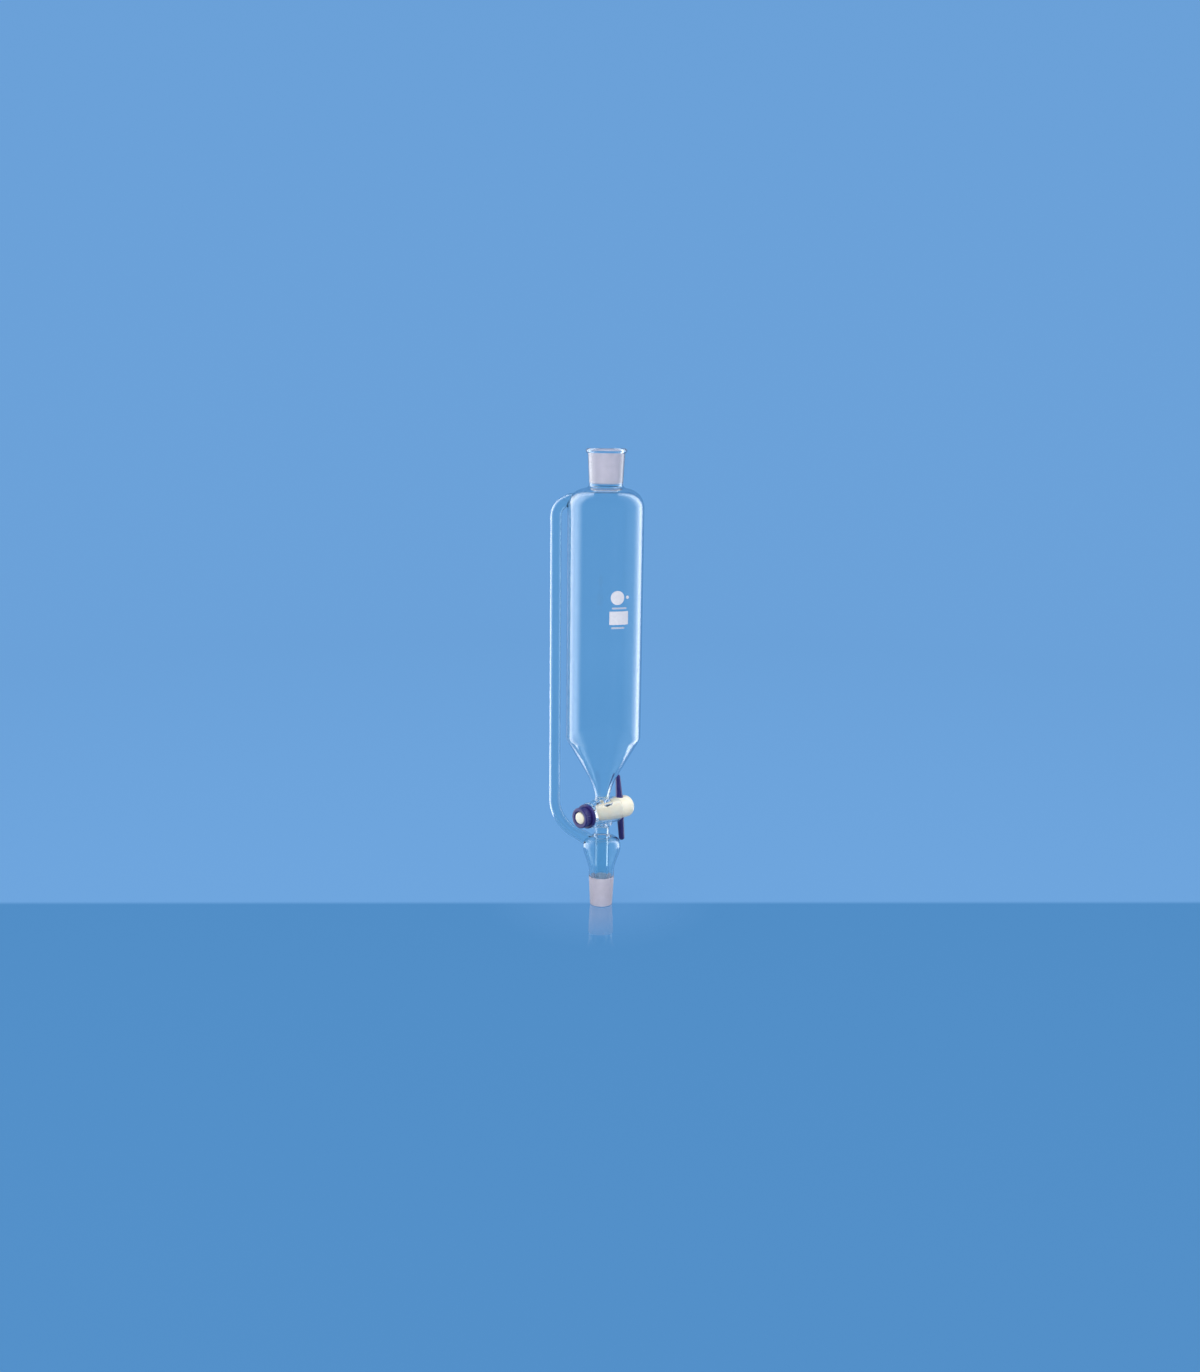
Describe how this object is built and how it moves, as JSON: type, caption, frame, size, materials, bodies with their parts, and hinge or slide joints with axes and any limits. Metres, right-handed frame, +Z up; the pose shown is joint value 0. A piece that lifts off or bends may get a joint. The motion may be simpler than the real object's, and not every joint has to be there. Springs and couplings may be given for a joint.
{
  "type": "separatory funnel",
  "caption": "Cylindrical pressure-equalising dropping funnel in clear glass, with a side arm, a ground socket and cone, and a plastic stopcock with a cross lever.",
  "frame": {"origin": "centre of the lower ground cone's end face, on the vessel's axis", "axes": "+Z up along the vessel's axis, -X towards the side arm, stopcock axis level, with its lever towards +X+Y"},
  "size_m": [0.0853, 0.0701, 0.43],
  "materials": {
    "clear_glass": "clear borosilicate, fire polished",
    "ground_glass": "finely ground, frosted",
    "ptfe": "white PTFE, waxy",
    "blue_plastic": "dark violet-blue, satin",
    "rubber": "matt",
    "enamel": "white fired enamel, satin"
  },
  "bodies": {
    "glass": {"top_socket": "ground_glass", "vessel_shoulder": "clear_glass", "vessel_cylinder": "clear_glass", "vessel_cone": "clear_glass", "side_arm": "clear_glass", "stopcock_barrel": "clear_glass", "vapour_bulb": "clear_glass", "drip_tube": "clear_glass", "ground_cone": "ground_glass", "mark_patch": "enamel", "upper_mark_bar": "enamel", "lower_mark_bar": "enamel", "mark_disc": "enamel", "mark_dot": "enamel"},
    "key": {"stopcock_key": "ptfe", "key_lever": "blue_plastic", "seal_washer": "ptfe", "seal_o_ring": "rubber"},
    "collar": {"pressure_collar": "blue_plastic"},
    "nut": {"tension_nut": "blue_plastic"}
  },
  "joints": [
    {"name": "key_turn", "type": "hinge", "parent": "glass", "child": "key", "pos_m": [0, 0, 0.091], "axis": [0.7071, 0.7071, 0], "continuous": true},
    {"name": "collar_slide", "type": "slide", "parent": "key", "child": "collar", "axis": [-0.7071, -0.7071, 0], "range_m": [0, 0.004]},
    {"name": "nut_turn", "type": "hinge", "parent": "collar", "child": "nut", "pos_m": [0, 0, 0.091], "axis": [-0.7071, -0.7071, 0], "range_deg": [0, 720]}
  ],
  "couplings": [
    {"joint": "collar_slide", "follows": "nut_turn", "m_per_rad": 0.00031831}
  ]
}
